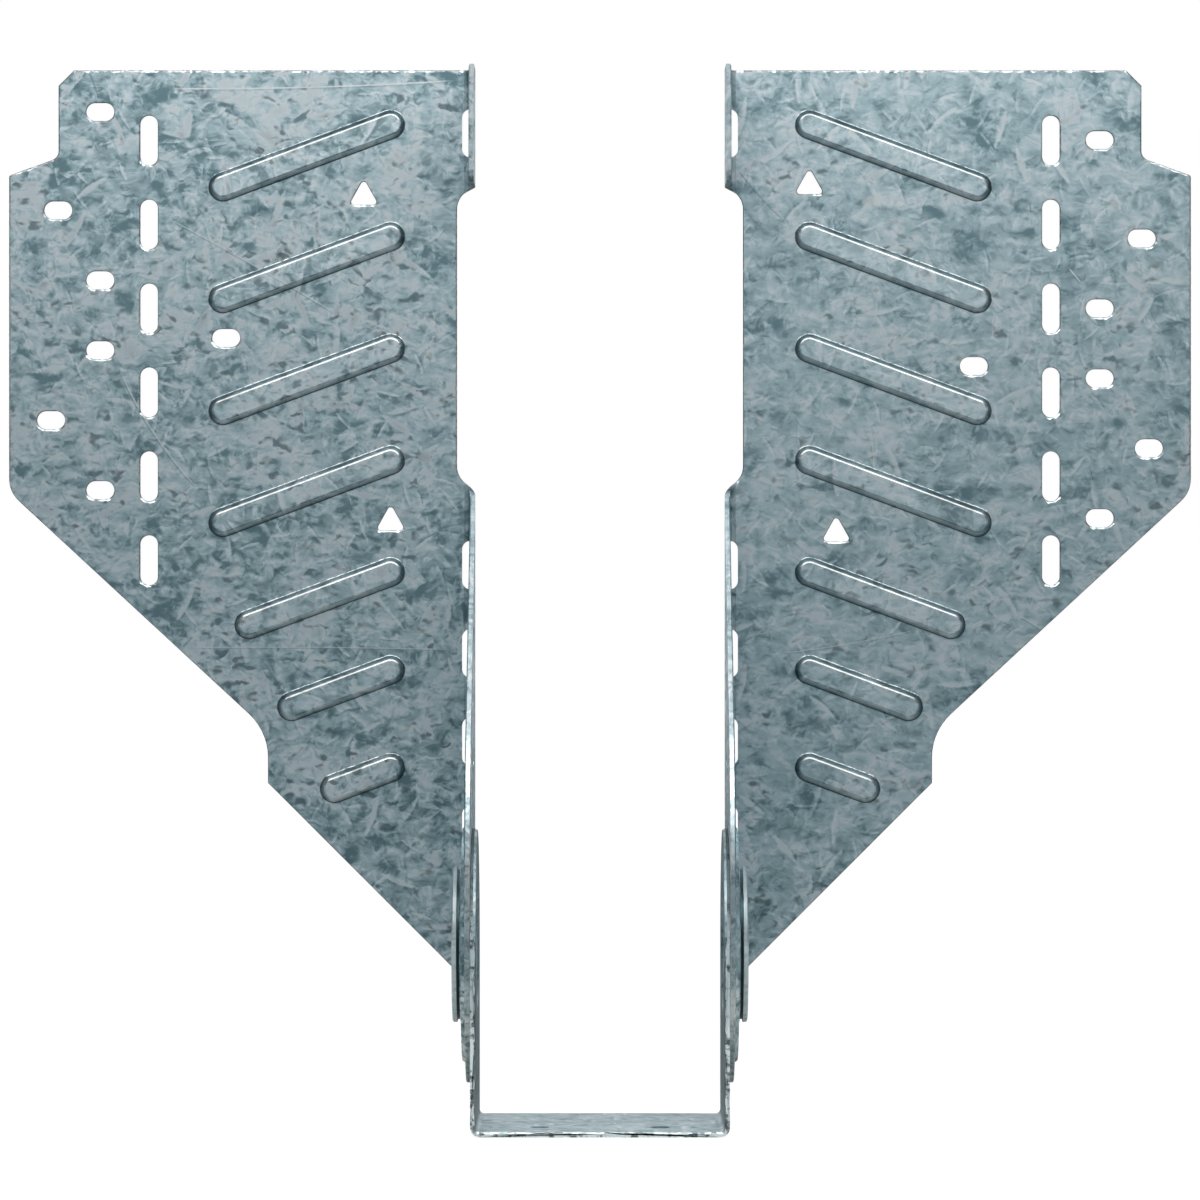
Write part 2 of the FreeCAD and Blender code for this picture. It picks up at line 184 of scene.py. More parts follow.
STREAK_STRETCH = (0.5, 1.0, 1.5)
FLECK_STRETCH = (0.8, 1.0, 1.2)
FLECK_COVER = 0.85

# Lumps, specks and pits of the worked edges, to a metre.
LUMPS = 1000.0
SPECKS = 650.0
PITS = 480.0

# How strongly the spangle tells on each piece, and how high it stands.
LEFT_CONTRAST = 1.7
RIGHT_CONTRAST = 1.25
STRAP_CONTRAST = 0.8
RELIEF_STRENGTH = 0.08
RELIEF_HEIGHT = 0.0002
SCRATCH_BRIGHT = (0.95, 0.96, 0.97, 1)

# Scratches on the plates' fronts: where each starts and ends across and up, how far it bows, its width, how
# bright its furrow is and how dark its bank.
LEFT_SCRATCHES = (
    ((-0.1093, 0.2251), (-0.0665, 0.2008), 0.0004, 0.00035, 0.45, 0.45),
    ((-0.1217, 0.1869), (-0.1015, 0.1563), -0.0016, 0.0004, 0.45, 0.45),
    ((-0.1101, 0.2579), (-0.0357, 0.2600), -0.0007, 0.0004, 0.7, 0.3),
    ((-0.1050, 0.1165), (-0.0365, 0.1160), 0.0003, 0.0003, 0.45, 0.3),
    ((-0.1290, 0.2623), (-0.1265, 0.2552), 0.0002, 0.0006, 0.0, 0.7),
)
RIGHT_SCRATCHES = (
    ((0.1063, 0.1244), (0.1116, 0.1211), 0.0001, 0.0004, 0.5, 0.4),
    ((0.0450, 0.1150), (0.0800, 0.1210), -0.0006, 0.0003, 0.45, 0.3),
    ((0.0350, 0.2377), (0.0472, 0.2243), -0.0004, 0.0005, 0.0, 0.5),
    ((0.1426, 0.2060), (0.1475, 0.1955), 0.0006, 0.0003, 0.0, 0.5),
    ((0.0561, 0.1638), (0.0480, 0.1573), 0.0002, 0.0003, 0.6, 0.0),
    ((0.0683, 0.1720), (0.0693, 0.1614), 0.0001, 0.0003, 0.5, 0.0),
    ((0.1185, 0.2125), (0.1215, 0.2089), 0.0, 0.0004, 0.6, 0.3),
    ((0.1178, 0.1847), (0.1219, 0.1852), 0.0, 0.0008, 0.0, 0.7),
    ((0.0660, 0.2262), (0.0774, 0.2270), 0.0010, 0.0042, 0.35, 0.0),
)

# The studio: the floor's size, how far below the object it lies and how bright it is, the room's tint, and
# the camera's sensor and reach.
FLOOR_RADIUS = 40
FLOOR_SIDES = 64
FLOOR_GAP = 0.0001
FLOOR_GLOW = (0.95, 1.0)
FLOOR_LIT = (0.12, 0.12, 0.12, 1)
AIR_TINT = (0.75, 1.0, 1.06)
WHITE = (1, 1, 1, 1)
SENSOR_WIDTH = 36
NEAREST = 0.01
FURTHEST = 100


class ZincFinish(bpy.types.PropertyGroup):
    """Colours and grain of the zinc coat."""

    mid: FloatVectorProperty(
        name="Middle grey",
        description="Colour of most of the coat",
        subtype="COLOR",
        default=(0.445, 0.58, 0.63),
        min=0,
        max=1,
    )
    dark: FloatVectorProperty(
        name="Dark teal",
        description="Colour of the hollows between grains",
        subtype="COLOR",
        default=(0.125, 0.205, 0.235),
        min=0,
        max=1,
    )
    pale: FloatVectorProperty(
        name="Pale grain",
        description="Colour of the grains that catch the light",
        subtype="COLOR",
        default=(0.80, 0.87, 0.905),
        min=0,
        max=1,
    )
    fleck: FloatVectorProperty(
        name="Fleck",
        description="Colour of the small dark flecks",
        subtype="COLOR",
        default=(0.07, 0.12, 0.14),
        min=0,
        max=1,
    )
    # Painted shade: the colour that the marked cut edges, rib feet and darkened faces turn to; also the
    # colour of pits in the sheared walls.
    crease: FloatVectorProperty(
        name="Crease",
        description="Colour of the dark lines along cut edges and pressed feet",
        subtype="COLOR",
        default=(0.03, 0.055, 0.062),
        min=0,
        max=1,
    )
    crest: FloatVectorProperty(
        name="Crest",
        description="Colour of the bright line along the ribs' upper crests",
        subtype="COLOR",
        default=(0.23, 0.235, 0.24),
        min=0,
        max=1,
    )
    rim: FloatVectorProperty(
        name="Rim",
        description="Colour of the coat where it gathers along the rolled edges",
        subtype="COLOR",
        default=(0.45, 0.46, 0.465),
        min=0,
        max=1,
    )
    cut: FloatVectorProperty(
        name="Cut",
        description="Colour of the sheared walls of the sheet",
        subtype="COLOR",
        default=(0.80, 0.87, 0.90),
        min=0,
        max=1,
    )
    grain: FloatProperty(
        name="Grain size",
        description="Width of one zinc grain",
        subtype="DISTANCE",
        unit="LENGTH",
        default=0.0058,
        min=0.001,
    )
    roughness: FloatProperty(
        name="Roughness",
        description="Mean roughness of the flat coat",
        subtype="FACTOR",
        default=0.42,
        min=0,
        max=1,
    )


class RolledRims(bpy.types.PropertyGroup):
    """The uneven line that the coat draws along every rolled edge."""

    step: FloatProperty(
        name="Step",
        description="Spacing of the points along a rim",
        subtype="DISTANCE",
        unit="LENGTH",
        default=0.0004,
        min=0.0001,
    )
    depth: FloatProperty(
        name="Scallop depth",
        description="How far the rim's line strays to either side",
        subtype="DISTANCE",
        unit="LENGTH",
        default=0.00026,
        min=0,
    )
    length: FloatProperty(
        name="Scallop length",
        description="Length of one scallop along the rim",
        subtype="DISTANCE",
        unit="LENGTH",
        default=0.0009,
        min=0.0002,
    )
    strap_length: FloatProperty(
        name="Scallop length, stirrup",
        description="Length of one scallop along the stirrup's front edge",
        subtype="DISTANCE",
        unit="LENGTH",
        default=0.0022,
        min=0.0002,
    )
    seed: IntProperty(
        name="Seed",
        description="Picks one run of scallops",
        default=4,
    )


class Studio(bpy.types.PropertyGroup):
    """Camera, lights and floor."""

    distance: FloatProperty(
        name="Camera distance",
        description="From the camera to the front of the face plates",
        subtype="DISTANCE",
        unit="LENGTH",
        default=1.6,
        min=0.3,
    )
    frame_width: FloatProperty(
        name="Frame width",
        description="Width of the picture at the face plates",
        subtype="DISTANCE",
        unit="LENGTH",
        default=0.3036,
        min=0.05,
    )
    eye_height: FloatProperty(
        name="Eye height",
        description="Height of the camera above the seat",
        subtype="DISTANCE",
        unit="LENGTH",
        default=0.1287,
    )
    floor_near: FloatVectorProperty(
        name="Floor, near",
        description="Colour that the floor under the object throws back on the steel",
        subtype="COLOR",
        default=(0.44, 0.44, 0.42),
        min=0,
        max=1,
    )
    floor_far: FloatVectorProperty(
        name="Floor, far",
        description="Colour that the floor further out throws back on the steel",
        subtype="COLOR",
        default=(0.25, 0.285, 0.305),
        min=0,
        max=1,
    )
    air: FloatProperty(
        name="Room light",
        description="Brightness of the room around the object",
        default=0.12,
        min=0,
    )


def feed(tree, socket, value):
    """Links a socket to another one, or sets it to a plain value."""
    if isinstance(value, bpy.types.NodeSocket):
        tree.links.new(value, socket)
    else:
        socket.default_value = value


def add(tree, kind, inputs=None, **settings):
    """Adds a node with its settings, and feeds its inputs by name or number."""
    made = tree.nodes.new(kind)
    for name, value in settings.items():
        setattr(made, name, value)
    for name, value in (inputs or {}).items():
        feed(tree, made.inputs[name], value)
    return made


def calc(tree, operation, a, b=0.0, clamp=False):
    made = add(tree, "ShaderNodeMath", {0: a, 1: b}, operation=operation, use_clamp=clamp)
    return made.outputs[0]


def times(tree, a, b, clamp=False):
    return calc(tree, "MULTIPLY", a, b, clamp)


def vector_calc(tree, operation, a, b):
    return add(tree, "ShaderNodeVectorMath", {0: a, 1: b}, operation=operation).outputs[0]


def length_of(tree, vector):
    return add(tree, "ShaderNodeVectorMath", {0: vector}, operation="LENGTH").outputs["Value"]


def dot(tree, a, b):
    return add(tree, "ShaderNodeVectorMath", {0: a, 1: b}, operation="DOT_PRODUCT").outputs["Value"]


def scaled(tree, vector, factor):
    made = add(tree, "ShaderNodeVectorMath", {0: vector, "Scale": factor}, operation="SCALE")
    return made.outputs[0]


def eased(tree, value, low, high, to_low=0.0, to_high=1.0):
    """A value carried over from one range to another, with soft ends."""
    made = add(tree, "ShaderNodeMapRange", {
        "Value": value, "From Min": low, "From Max": high, "To Min": to_low, "To Max": to_high,
    }, interpolation_type="SMOOTHSTEP")
    return made.outputs["Result"]


def blended(tree, factor, a, b):
    """Colour a giving way to colour b as the factor rises."""
    made = add(tree, "ShaderNodeMix", data_type="RGBA")
    named = {socket.identifier: socket for socket in made.inputs}
    feed(tree, named["Factor_Float"], factor)
    feed(tree, named["A_Color"], a)
    feed(tree, named["B_Color"], b)
    return next(socket for socket in made.outputs if socket.identifier == "Result_Color")


def cloudy(tree, vector, scale, detail=2.0, roughness=0.5, distortion=0.0):
    """Noise texture node."""
    return add(tree, "ShaderNodeTexNoise", {
        "Vector": vector, "Scale": scale, "Detail": detail, "Roughness": roughness, "Distortion": distortion,
    })


def mottle(tree, vector, scale, *shape):
    """Noise about nought."""
    return calc(tree, "SUBTRACT", cloudy(tree, vector, scale, *shape).outputs["Fac"], 0.5)


def turned(tree, vector, angle, stretch):
    """Coordinates turned about the Y axis and stretched, for patterns that lean."""
    return add(tree, "ShaderNodeMapping", {
        "Vector": vector, "Rotation": (0, angle, 0), "Scale": stretch,
    }).outputs[0]


def new_group(kind, name, inputs, outputs):
    """A node group with named sockets: its tree, the sockets that come in, and the ones that go out."""
    tree = bpy.data.node_groups.new(name, kind)
    for socket, kind_of_socket in inputs:
        tree.interface.new_socket(socket, in_out="INPUT", socket_type=kind_of_socket)
    for socket, kind_of_socket in outputs:
        tree.interface.new_socket(socket, in_out="OUTPUT", socket_type=kind_of_socket)
    return tree, tree.nodes.new("NodeGroupInput").outputs, tree.nodes.new("NodeGroupOutput").inputs


def feathers(tree, place, density, offset):
    """Zinc crystals: cells with streaks of their own slant and shade, fading out to their borders."""
    place = vector_calc(tree, "ADD", place, offset)
    cells = add(tree, "ShaderNodeTexVoronoi", {"Vector": place, "Scale": density})
    leaning = add(tree, "ShaderNodeVectorRotate", {
        "Vector": place, "Rotation": scaled(tree, cells.outputs["Color"], 2 * math.pi),
    }, rotation_type="EULER_XYZ").outputs[0]
    drawn_out = vector_calc(tree, "MULTIPLY", leaning, FEATHER_STRETCH)
    grain = mottle(tree, drawn_out, density, 2.0, 0.5, 0.3)
    shade = add(tree, "ShaderNodeSeparateColor", {"Color": cells.outputs["Color"]}).outputs["Green"]
    shade = times(tree, calc(tree, "SUBTRACT", shade, 0.5), FEATHER_SHADE)
    inside = eased(tree, cells.outputs["Distance"], 0.85, 0.3)
    return times(tree, calc(tree, "ADD", grain, shade), inside)


def shards(tree, place, density, offset):
    """Leaf-shaped crystals, one to a cell and each at its own slant: pale leaves, and a dark bank by each."""
    place = vector_calc(tree, "ADD", place, offset)
    cells = add(tree, "ShaderNodeTexVoronoi", {"Vector": place, "Scale": density})
    draws = add(tree, "ShaderNodeSeparateColor", {"Color": cells.outputs["Color"]}).outputs
    leaning = add(tree, "ShaderNodeVectorRotate", {
        "Vector": vector_calc(tree, "SUBTRACT", place, cells.outputs["Position"]),
        "Angle": times(tree, draws["Red"], 2 * math.pi),
    }, rotation_type="Y_AXIS").outputs[0]
    sides = add(tree, "ShaderNodeSeparateXYZ", {0: scaled(tree, leaning, density)}).outputs
    taper = calc(tree, "POWER", times(tree, sides["X"], LEAF_TAPER), 2.0)
    across = times(tree, sides["Z"], LEAF_NARROWNESS)
    masks = []
    for shift, soft in ((0.0, 0.6), (0.7, 0.8)):
        off = calc(tree, "ADD", calc(tree, "ABSOLUTE", calc(tree, "ADD", across, shift)), taper)
        masks.append(eased(tree, off, 1.0, 1.0 - soft))
    leaf = times(tree, masks[0], eased(tree, across, 1.1, -0.7))
    bank = calc(tree, "SUBTRACT", masks[1], masks[0], True)
    inside = eased(tree, cells.outputs["Distance"], 0.8, 0.5)
    strength = times(tree, eased(tree, draws["Green"], 0.35, 0.95), inside)
    return times(tree, leaf, strength), times(tree, bank, strength)


def streaks(tree, place, density, angle):
    """Soft streaks that lean by an angle, about nought."""
    return mottle(tree, turned(tree, place, angle, STREAK_STRETCH), density, 3.0, 0.55, 0.4)


def weighed(tree, *parts):
    """Sum of values, each times its weight."""
    total = 0.0
    for value, weight in parts:
        total = calc(tree, "ADD", times(tree, value, weight), total)
    return total


def zinc_spangle():
    """Leaning crystals large and small, a fine mottle and small dark flecks."""
    tree, given, result = new_group(
        "ShaderNodeTree",
        "Zinc spangle",
        [
            ("Vector", "NodeSocketVector"),
            ("Grain Size", "NodeSocketFloat"),
            ("Contrast", "NodeSocketFloat"),
            ("Mid", "NodeSocketColor"),
            ("Dark", "NodeSocketColor"),
            ("Pale", "NodeSocketColor"),
            ("Fleck", "NodeSocketColor"),
            ("Roughness", "NodeSocketFloat"),
        ],
        [("Color", "NodeSocketColor"), ("Roughness", "NodeSocketFloat"), ("Height", "NodeSocketFloat")],
    )
    place = given["Vector"]
    grains = calc(tree, "DIVIDE", 1.0, given["Grain Size"])
    dense = {pattern: times(tree, grains, factor) for pattern, factor in DENSITY.items()}
    wander = cloudy(tree, place, dense["wander"]).outputs["Color"]
    wander = scaled(tree, vector_calc(tree, "SUBTRACT", wander, (0.5, 0.5, 0.5)), WANDER_REACH)
    warped = vector_calc(tree, "ADD", place, wander)

    large = feathers(tree, warped, dense["large"], (0, 0, 0))
    middling = feathers(tree, warped, dense["middling"], (0.3, 0.2, 0.1))
    small = feathers(tree, warped, dense["small"], (0.7, 0.1, 0.4))
    broad = mottle(tree, place, dense["broad"])
    rising = streaks(tree, warped, dense["rising"], RISING_SLANT)
    falling = streaks(tree, warped, dense["falling"], FALLING_SLANT)
    leaves, leaf_banks = shards(tree, place, dense["leaves"], (0.2, 0.5, 0.3))
    splinters, splinter_banks = shards(tree, place, dense["splinters"], (0.6, 0.3, 0.8))
    tone = weighed(
        tree,
        (large, WEIGHT["large"]),
        (middling, WEIGHT["middling"]),
        (small, WEIGHT["small"]),
        (broad, WEIGHT["broad"]),
        (rising, WEIGHT["rising"]),
        (falling, WEIGHT["falling"]),
        (leaves, WEIGHT["leaves"]),
        (leaf_banks, WEIGHT["leaf banks"]),
        (splinters, WEIGHT["splinters"]),
        (splinter_banks, WEIGHT["splinter banks"]),
    )
    tone = times(tree, tone, given["Contrast"])
    colour = blended(tree, eased(tree, tone, 0.1, -0.6), given["Mid"], given["Dark"])
    colour = blended(tree, eased(tree, tone, -0.1, 0.55), colour, given["Pale"])

    fleck_place = turned(tree, warped, RISING_SLANT, FLECK_STRETCH)
    spots = cloudy(tree, fleck_place, dense["flecks"], 1.0, 0.5, 0.3).outputs["Fac"]
    fleck = times(tree, eased(tree, spots, 0.54, 0.8), eased(tree, broad, -0.12, 0.1))
    fleck = times(tree, fleck, given["Contrast"], True)
    colour = blended(tree, times(tree, fleck, FLECK_COVER), colour, given["Fleck"])

    rough = weighed(tree, (given["Roughness"], 1.0), (tone, -0.12), (fleck, 0.1))
    feed(tree, result["Color"], colour)
    feed(tree, result["Roughness"], rough)
    feed(tree, result["Height"], weighed(tree, (large, 0.6), (middling, 0.6), (small, 0.4), (fleck, -0.3)))
    return tree


def worked_edges():
    """Where the sheet was cut, rolled or stamped: pale gathered zinc, bare sheared walls, and painted shade
    as dark crease lines and darkened faces.
    """
    tree, given, result = new_group(
        "ShaderNodeTree",
        "Worked edges",
        [
            ("Vector", "NodeSocketVector"),
            ("Color", "NodeSocketColor"),
            ("Roughness", "NodeSocketFloat"),
            ("Rim Color", "NodeSocketColor"),
            ("Crest Color", "NodeSocketColor"),
            ("Cut Color", "NodeSocketColor"),
            ("Crease Color", "NodeSocketColor"),
            ("Rim", "NodeSocketFloat"),
            ("Crease", "NodeSocketFloat"),
            ("Cut", "NodeSocketFloat"),
            ("Painted_Shade", "NodeSocketFloat"),
        ],
        [("Color", "NodeSocketColor"), ("Roughness", "NodeSocketFloat")],
    )
    lumps = cloudy(tree, given["Vector"], LUMPS, 2.0, 0.6).outputs["Fac"]
    specks = cloudy(tree, given["Vector"], SPECKS, 3.0, 0.65).outputs["Fac"]
    # The cut mark is bare steel on sheared walls, and painted light on the ribs' lower slopes.
    cut = times(tree, given["Cut"], eased(tree, specks, 0.3, 0.6, 0.4, 0.95), True)
    rim = times(tree, eased(tree, given["Rim"], 0.3, 0.6), eased(tree, lumps, 0.36, 0.52, 0.1, 1.0))
    crest = calc(tree, "SUBTRACT", given["Rim"], 1.0, True)
    # Painted shade: broken dark lines along the marked creases and cut sides.
    dashes = eased(tree, lumps, 0.58, 0.42)
    crease = times(tree, eased(tree, given["Crease"], 0.35, 0.85), dashes)
    pits = cloudy(tree, given["Vector"], PITS, 3.0, 0.6).outputs["Fac"]
    pits = times(tree, eased(tree, given["Cut"], 1.0, 2.0), eased(tree, pits, 0.5, 0.66, 0.0, 0.85))
    colour = blended(tree, cut, given["Color"], given["Cut Color"])
    colour = blended(tree, pits, colour, given["Crease Color"])
    # Painted shade: marked faces darken towards the shade colour.
    colour = blended(tree, given["Painted_Shade"], colour, given["Crease Color"])
    colour = blended(tree, rim, colour, given["Rim Color"])
    colour = blended(tree, crest, colour, given["Crest Color"])
    feed(tree, result["Color"], blended(tree, crease, colour, given["Crease Color"]))
    feed(tree, result["Roughness"], weighed(tree, (given["Roughness"], 1.0), (rim, -0.1), (cut, 0.24)))
    return tree


def scratch():
    """One long scratch on a face plate, bowed to one side: a bright furrow with a dark bank beside it."""
    tree, given, result = new_group(
        "ShaderNodeTree",
        "Scratch",
        [
            ("Vector", "NodeSocketVector"),
            ("Start", "NodeSocketVector"),
            ("End", "NodeSocketVector"),
            ("Bow", "NodeSocketFloat"),
            ("Width", "NodeSocketFloat"),
        ],
        [("Furrow", "NodeSocketFloat"), ("Bank", "NodeSocketFloat")],
    )
    run = vector_calc(tree, "SUBTRACT", given["End"], given["Start"])
    along = add(tree, "ShaderNodeVectorMath", {0: run}, operation="NORMALIZE").outputs[0]
    sideways = vector_calc(tree, "CROSS_PRODUCT", along, (0, 1, 0))
    from_start = vector_calc(tree, "SUBTRACT", given["Vector"], given["Start"])
    share = calc(tree, "DIVIDE", dot(tree, from_start, along), length_of(tree, run))
    arch = times(tree, times(tree, share, calc(tree, "SUBTRACT", 1.0, share)), 4.0)
    aside = calc(tree, "SUBTRACT", dot(tree, from_start, sideways), times(tree, arch, given["Bow"]))
    aside = calc(tree, "DIVIDE", aside, given["Width"])
    ends = times(tree, eased(tree, share, 0.0, 0.1), eased(tree, share, 1.0, 0.9))
    depth = add(tree, "ShaderNodeSeparateXYZ", {0: given["Vector"]}).outputs["Y"]
    ends = times(tree, ends, calc(tree, "LESS_THAN", depth, FACE_FRONT + ROLL_DEPTH))
    for name, middle in (("Furrow", 0.5), ("Bank", -0.5)):
        off = calc(tree, "ABSOLUTE", calc(tree, "SUBTRACT", aside, middle))
        feed(tree, result[name], times(tree, eased(tree, off, 0.6, 0.2), ends))
    return tree


def scratched(tree, place, scratches):
    """The furrows and the banks of all of a plate's scratches, as two masks."""
    furrows = 0.0
    banks = 0.0
    group = bpy.data.node_groups.get("Scratch") or scratch()
    for (start_x, start_z), (end_x, end_z), bow, width, shine, shade in scratches:
        made = add(tree, "ShaderNodeGroup", node_tree=group)
        feed(tree, made.inputs["Vector"], place)
        made.inputs["Start"].default_value = (start_x, FACE_FRONT, start_z)
        made.inputs["End"].default_value = (end_x, FACE_FRONT, end_z)
        made.inputs["Bow"].default_value = bow
        made.inputs["Width"].default_value = width
        furrows = calc(tree, "MAXIMUM", times(tree, made.outputs["Furrow"], shine), furrows)
        banks = calc(tree, "MAXIMUM", times(tree, made.outputs["Bank"], shade), banks)
    return furrows, banks


def galvanised(name, contrast, scratches=()):
    """Spangled zinc on steel sheet, worked along its edges, scratched by handling, and darkened by painted
    shade where its marks say.
    """
    zinc = bpy.context.scene.hanger_zinc
    material = bpy.data.materials.new(name)
    material.use_nodes = True
    tree = material.node_tree
    shader = next(made for made in tree.nodes if made.type == "BSDF_PRINCIPLED")
    place = add(tree, "ShaderNodeTexCoord").outputs["Object"]

    coat = add(tree, "ShaderNodeGroup", node_tree=bpy.data.node_groups.get("Zinc spangle") or zinc_spangle())
    feed(tree, coat.inputs["Vector"], place)
    coat.inputs["Grain Size"].default_value = zinc.grain
    coat.inputs["Contrast"].default_value = contrast
    coat.inputs["Roughness"].default_value = zinc.roughness
    for shade in ("mid", "dark", "pale", "fleck"):
        coat.inputs[shade.title()].default_value = (*getattr(zinc, shade), 1)
    colour = coat.outputs["Color"]
    if scratches:
        furrows, banks = scratched(tree, place, scratches)
        colour = blended(tree, furrows, colour, SCRATCH_BRIGHT)
        colour = blended(tree, banks, colour, (*zinc.dark, 1))

    edge = add(tree, "ShaderNodeGroup", node_tree=bpy.data.node_groups.get("Worked edges") or worked_edges())
    feed(tree, edge.inputs["Vector"], place)
    feed(tree, edge.inputs["Color"], colour)
    feed(tree, edge.inputs["Roughness"], coat.outputs["Roughness"])
    for shade in ("rim", "crest", "cut", "crease"):
        edge.inputs[f"{shade.title()} Color"].default_value = (*getattr(zinc, shade), 1)
    for mark in MARKS:
        painted = add(tree, "ShaderNodeAttribute", attribute_name=mark)
        feed(tree, edge.inputs[mark.title()], painted.outputs["Fac"])

    relief = add(tree, "ShaderNodeBump", {
        "Strength": RELIEF_STRENGTH, "Distance": RELIEF_HEIGHT, "Height": coat.outputs["Height"],
    })
    feed(tree, shader.inputs["Base Color"], edge.outputs["Color"])
    feed(tree, shader.inputs["Roughness"], edge.outputs["Roughness"])
    feed(tree, shader.inputs["Normal"], relief.outputs["Normal"])
    shader.inputs["Metallic"].default_value = 1.0


def zinc_materials():
    """The coats of the two brackets and of the stirrup, made once."""
    if "galvanised_left" not in bpy.data.materials:
        galvanised("galvanised_left", LEFT_CONTRAST, LEFT_SCRATCHES)
        galvanised("galvanised_right", RIGHT_CONTRAST, RIGHT_SCRATCHES)
        galvanised("galvanised_strap", STRAP_CONTRAST)


def scalloped_rims():
    """Moves the points of a rim to and fro across its line, and draws the rim narrower."""
    tree, given, result = new_group(
        "GeometryNodeTree",
        "Scalloped rims",
        [
            ("Geometry", "NodeSocketGeometry"),
            ("Scallop Depth", "NodeSocketFloat"),
            ("Scallop Length", "NodeSocketFloat"),
            ("Seed", "NodeSocketInt"),
            ("Material", "NodeSocketMaterial"),
        ],
        [("Geometry", "NodeSocketGeometry")],
    )
    across = add(tree, "GeometryNodeInputNamedAttribute", {"Name": "rim_way"}, data_type="FLOAT_VECTOR")
    jag = add(tree, "ShaderNodeTexNoise", {
        "Vector": tree.nodes.new("GeometryNodeInputPosition").outputs[0],
        "W": given["Seed"],
        "Scale": calc(tree, "DIVIDE", 1.0, given["Scallop Length"]),
        "Detail": 2.0,
        "Roughness": 0.65,
    }, noise_dimensions="4D")
    swing = times(tree, calc(tree, "SUBTRACT", jag.outputs["Fac"], SWING_MIDDLE), SWING_GAIN)
    shift = scaled(tree, across.outputs["Attribute"], times(tree, swing, given["Scallop Depth"]))
    narrowing = add(tree, "GeometryNodeInputNamedAttribute", {"Name": "rim_draw"}, data_type="FLOAT_VECTOR")
    shift = vector_calc(tree, "ADD", shift, narrowing.outputs["Attribute"])
    moved = add(tree, "GeometryNodeSetPosition", {"Geometry": given["Geometry"], "Offset": shift})
    whole = add(tree, "GeometryNodeRealizeInstances", {"Geometry": moved.outputs[0]})
    coated = add(tree, "GeometryNodeSetMaterial", {
        "Geometry": whole.outputs[0], "Material": given["Material"],
    })
    feed(tree, result["Geometry"], coated.outputs[0])
    return tree


def strip_kind(face, strips):
    """The kind of strip that a narrow slanting face belongs to, or None."""
    middle = face.calc_center_median()
    for kind, (axis, near, far) in strips.items():
        if ROLL_LEAN[0] < abs(face.normal[axis]) < ROLL_LEAN[1] and near < abs(middle[axis]) < far:
            return kind
    return None


def strips_of(bm, kind, strips):
    """Groups of joined faces that make up one strip of a kind each."""
    alike = [face for face in bm.faces if strip_kind(face, strips) == kind]
    left = set(alike)
    found = []
    for first in alike:
        if first in left:
            left.discard(first)
            strip = [first]
            for face in strip:
                near = [other for edge in face.edges for other in edge.link_faces if other in left]
                strip.extend(dict.fromkeys(near))
                left.difference_update(near)
            found.append(strip)
    return found


def in_order(edges):
    """The corners of one run of edges from end to end; a closed run comes back to its first corner."""
    links = {}
    for edge in edges:
        for corner in edge.verts:
            links.setdefault(corner, []).append(edge)
    ends = [corner for corner, near in links.items() if len(near) == 1]
    corner = min(ends or links, key=lambda item: tuple(item.co))
    run = [corner]
    unused = set(edges)
    while True:
        edge = next((near for near in links[corner] if near in unused), None)
        if edge is None:
            return run if not unused else None
        unused.discard(edge)
        corner = edge.other_vert(corner)
        run.append(corner)


def split(bm, edges, step):
    """Divides edges into pieces no longer than the step, and returns all the pieces."""
    pieces = []
    for edge in edges:
        cuts = math.ceil(edge.calc_length() / step) - 1
        pieces.append(edge)
        for left in range(cuts, 0, -1):
            far = edge.verts[1]
            made, _ = bmesh.utils.edge_split(edge, edge.verts[0], 1 / (left + 1))
            pieces.append(made)
            edge = made if far in made.verts else edge
    return pieces


def aligned(skin, cut):
    """The cut's run of corners, set to start beside the skin's and go the same way."""
    if skin[0] is skin[-1]:
        ring = cut[:-1]
        first = min(range(len(ring)), key=lambda i: (ring[i].co - skin[0].co).length)
        ring = ring[first:] + ring[:first]
        quarter = skin[len(skin) // 4].co
        ahead = (ring[len(ring) // 4].co - quarter).length
        behind = (ring[-(len(ring) // 4)].co - quarter).length
        if behind < ahead:
            ring = ring[:1] + ring[:0:-1]
        return ring + ring[:1]
    same_way = (cut[0].co - skin[0].co).length + (cut[-1].co - skin[-1].co).length
    other_way = (cut[-1].co - skin[0].co).length + (cut[0].co - skin[-1].co).length
    return cut if same_way <= other_way else cut[::-1]


def lace(bm, skin, cut):
    """Fills the strip between two runs of corners with triangles."""
    made = []
    on_skin = 0
    on_cut = 0
    while on_skin + 1 < len(skin) or on_cut + 1 < len(cut):
        a = skin[on_skin]
        b = cut[on_cut]
        along_skin = (skin[on_skin + 1].co - b.co).length if on_skin + 1 < len(skin) else math.inf
        along_cut = (cut[on_cut + 1].co - a.co).length if on_cut + 1 < len(cut) else math.inf
        if along_skin <= along_cut:
            on_skin += 1
            corners = (a, skin[on_skin], b)
        else:
            on_cut += 1
            corners = (a, cut[on_cut], b)
        if len(set(corners)) == 3:
            made.append(bm.faces.new(corners))
    return made


def new_marks(bm):
    """The marks on the corners of faces that the coat's material reads."""
    return {mark: bm.loops.layers.float.new(mark) for mark in MARKS}


def border_of(strip):
    """The edges around a strip, each with the face on its other side."""
    border = {}
    inside = set(strip)
    for face in strip:
        for edge in face.edges:
            others = [near for near in edge.link_faces if near not in inside]
            if others:
                border[edge] = others[0]
    return border


def set_mark(face, mark, amount):
    for loop in face.loops:
        loop[mark] = amount


def between(ends, share):
    return ends[0] + (ends[1] - ends[0]) * share


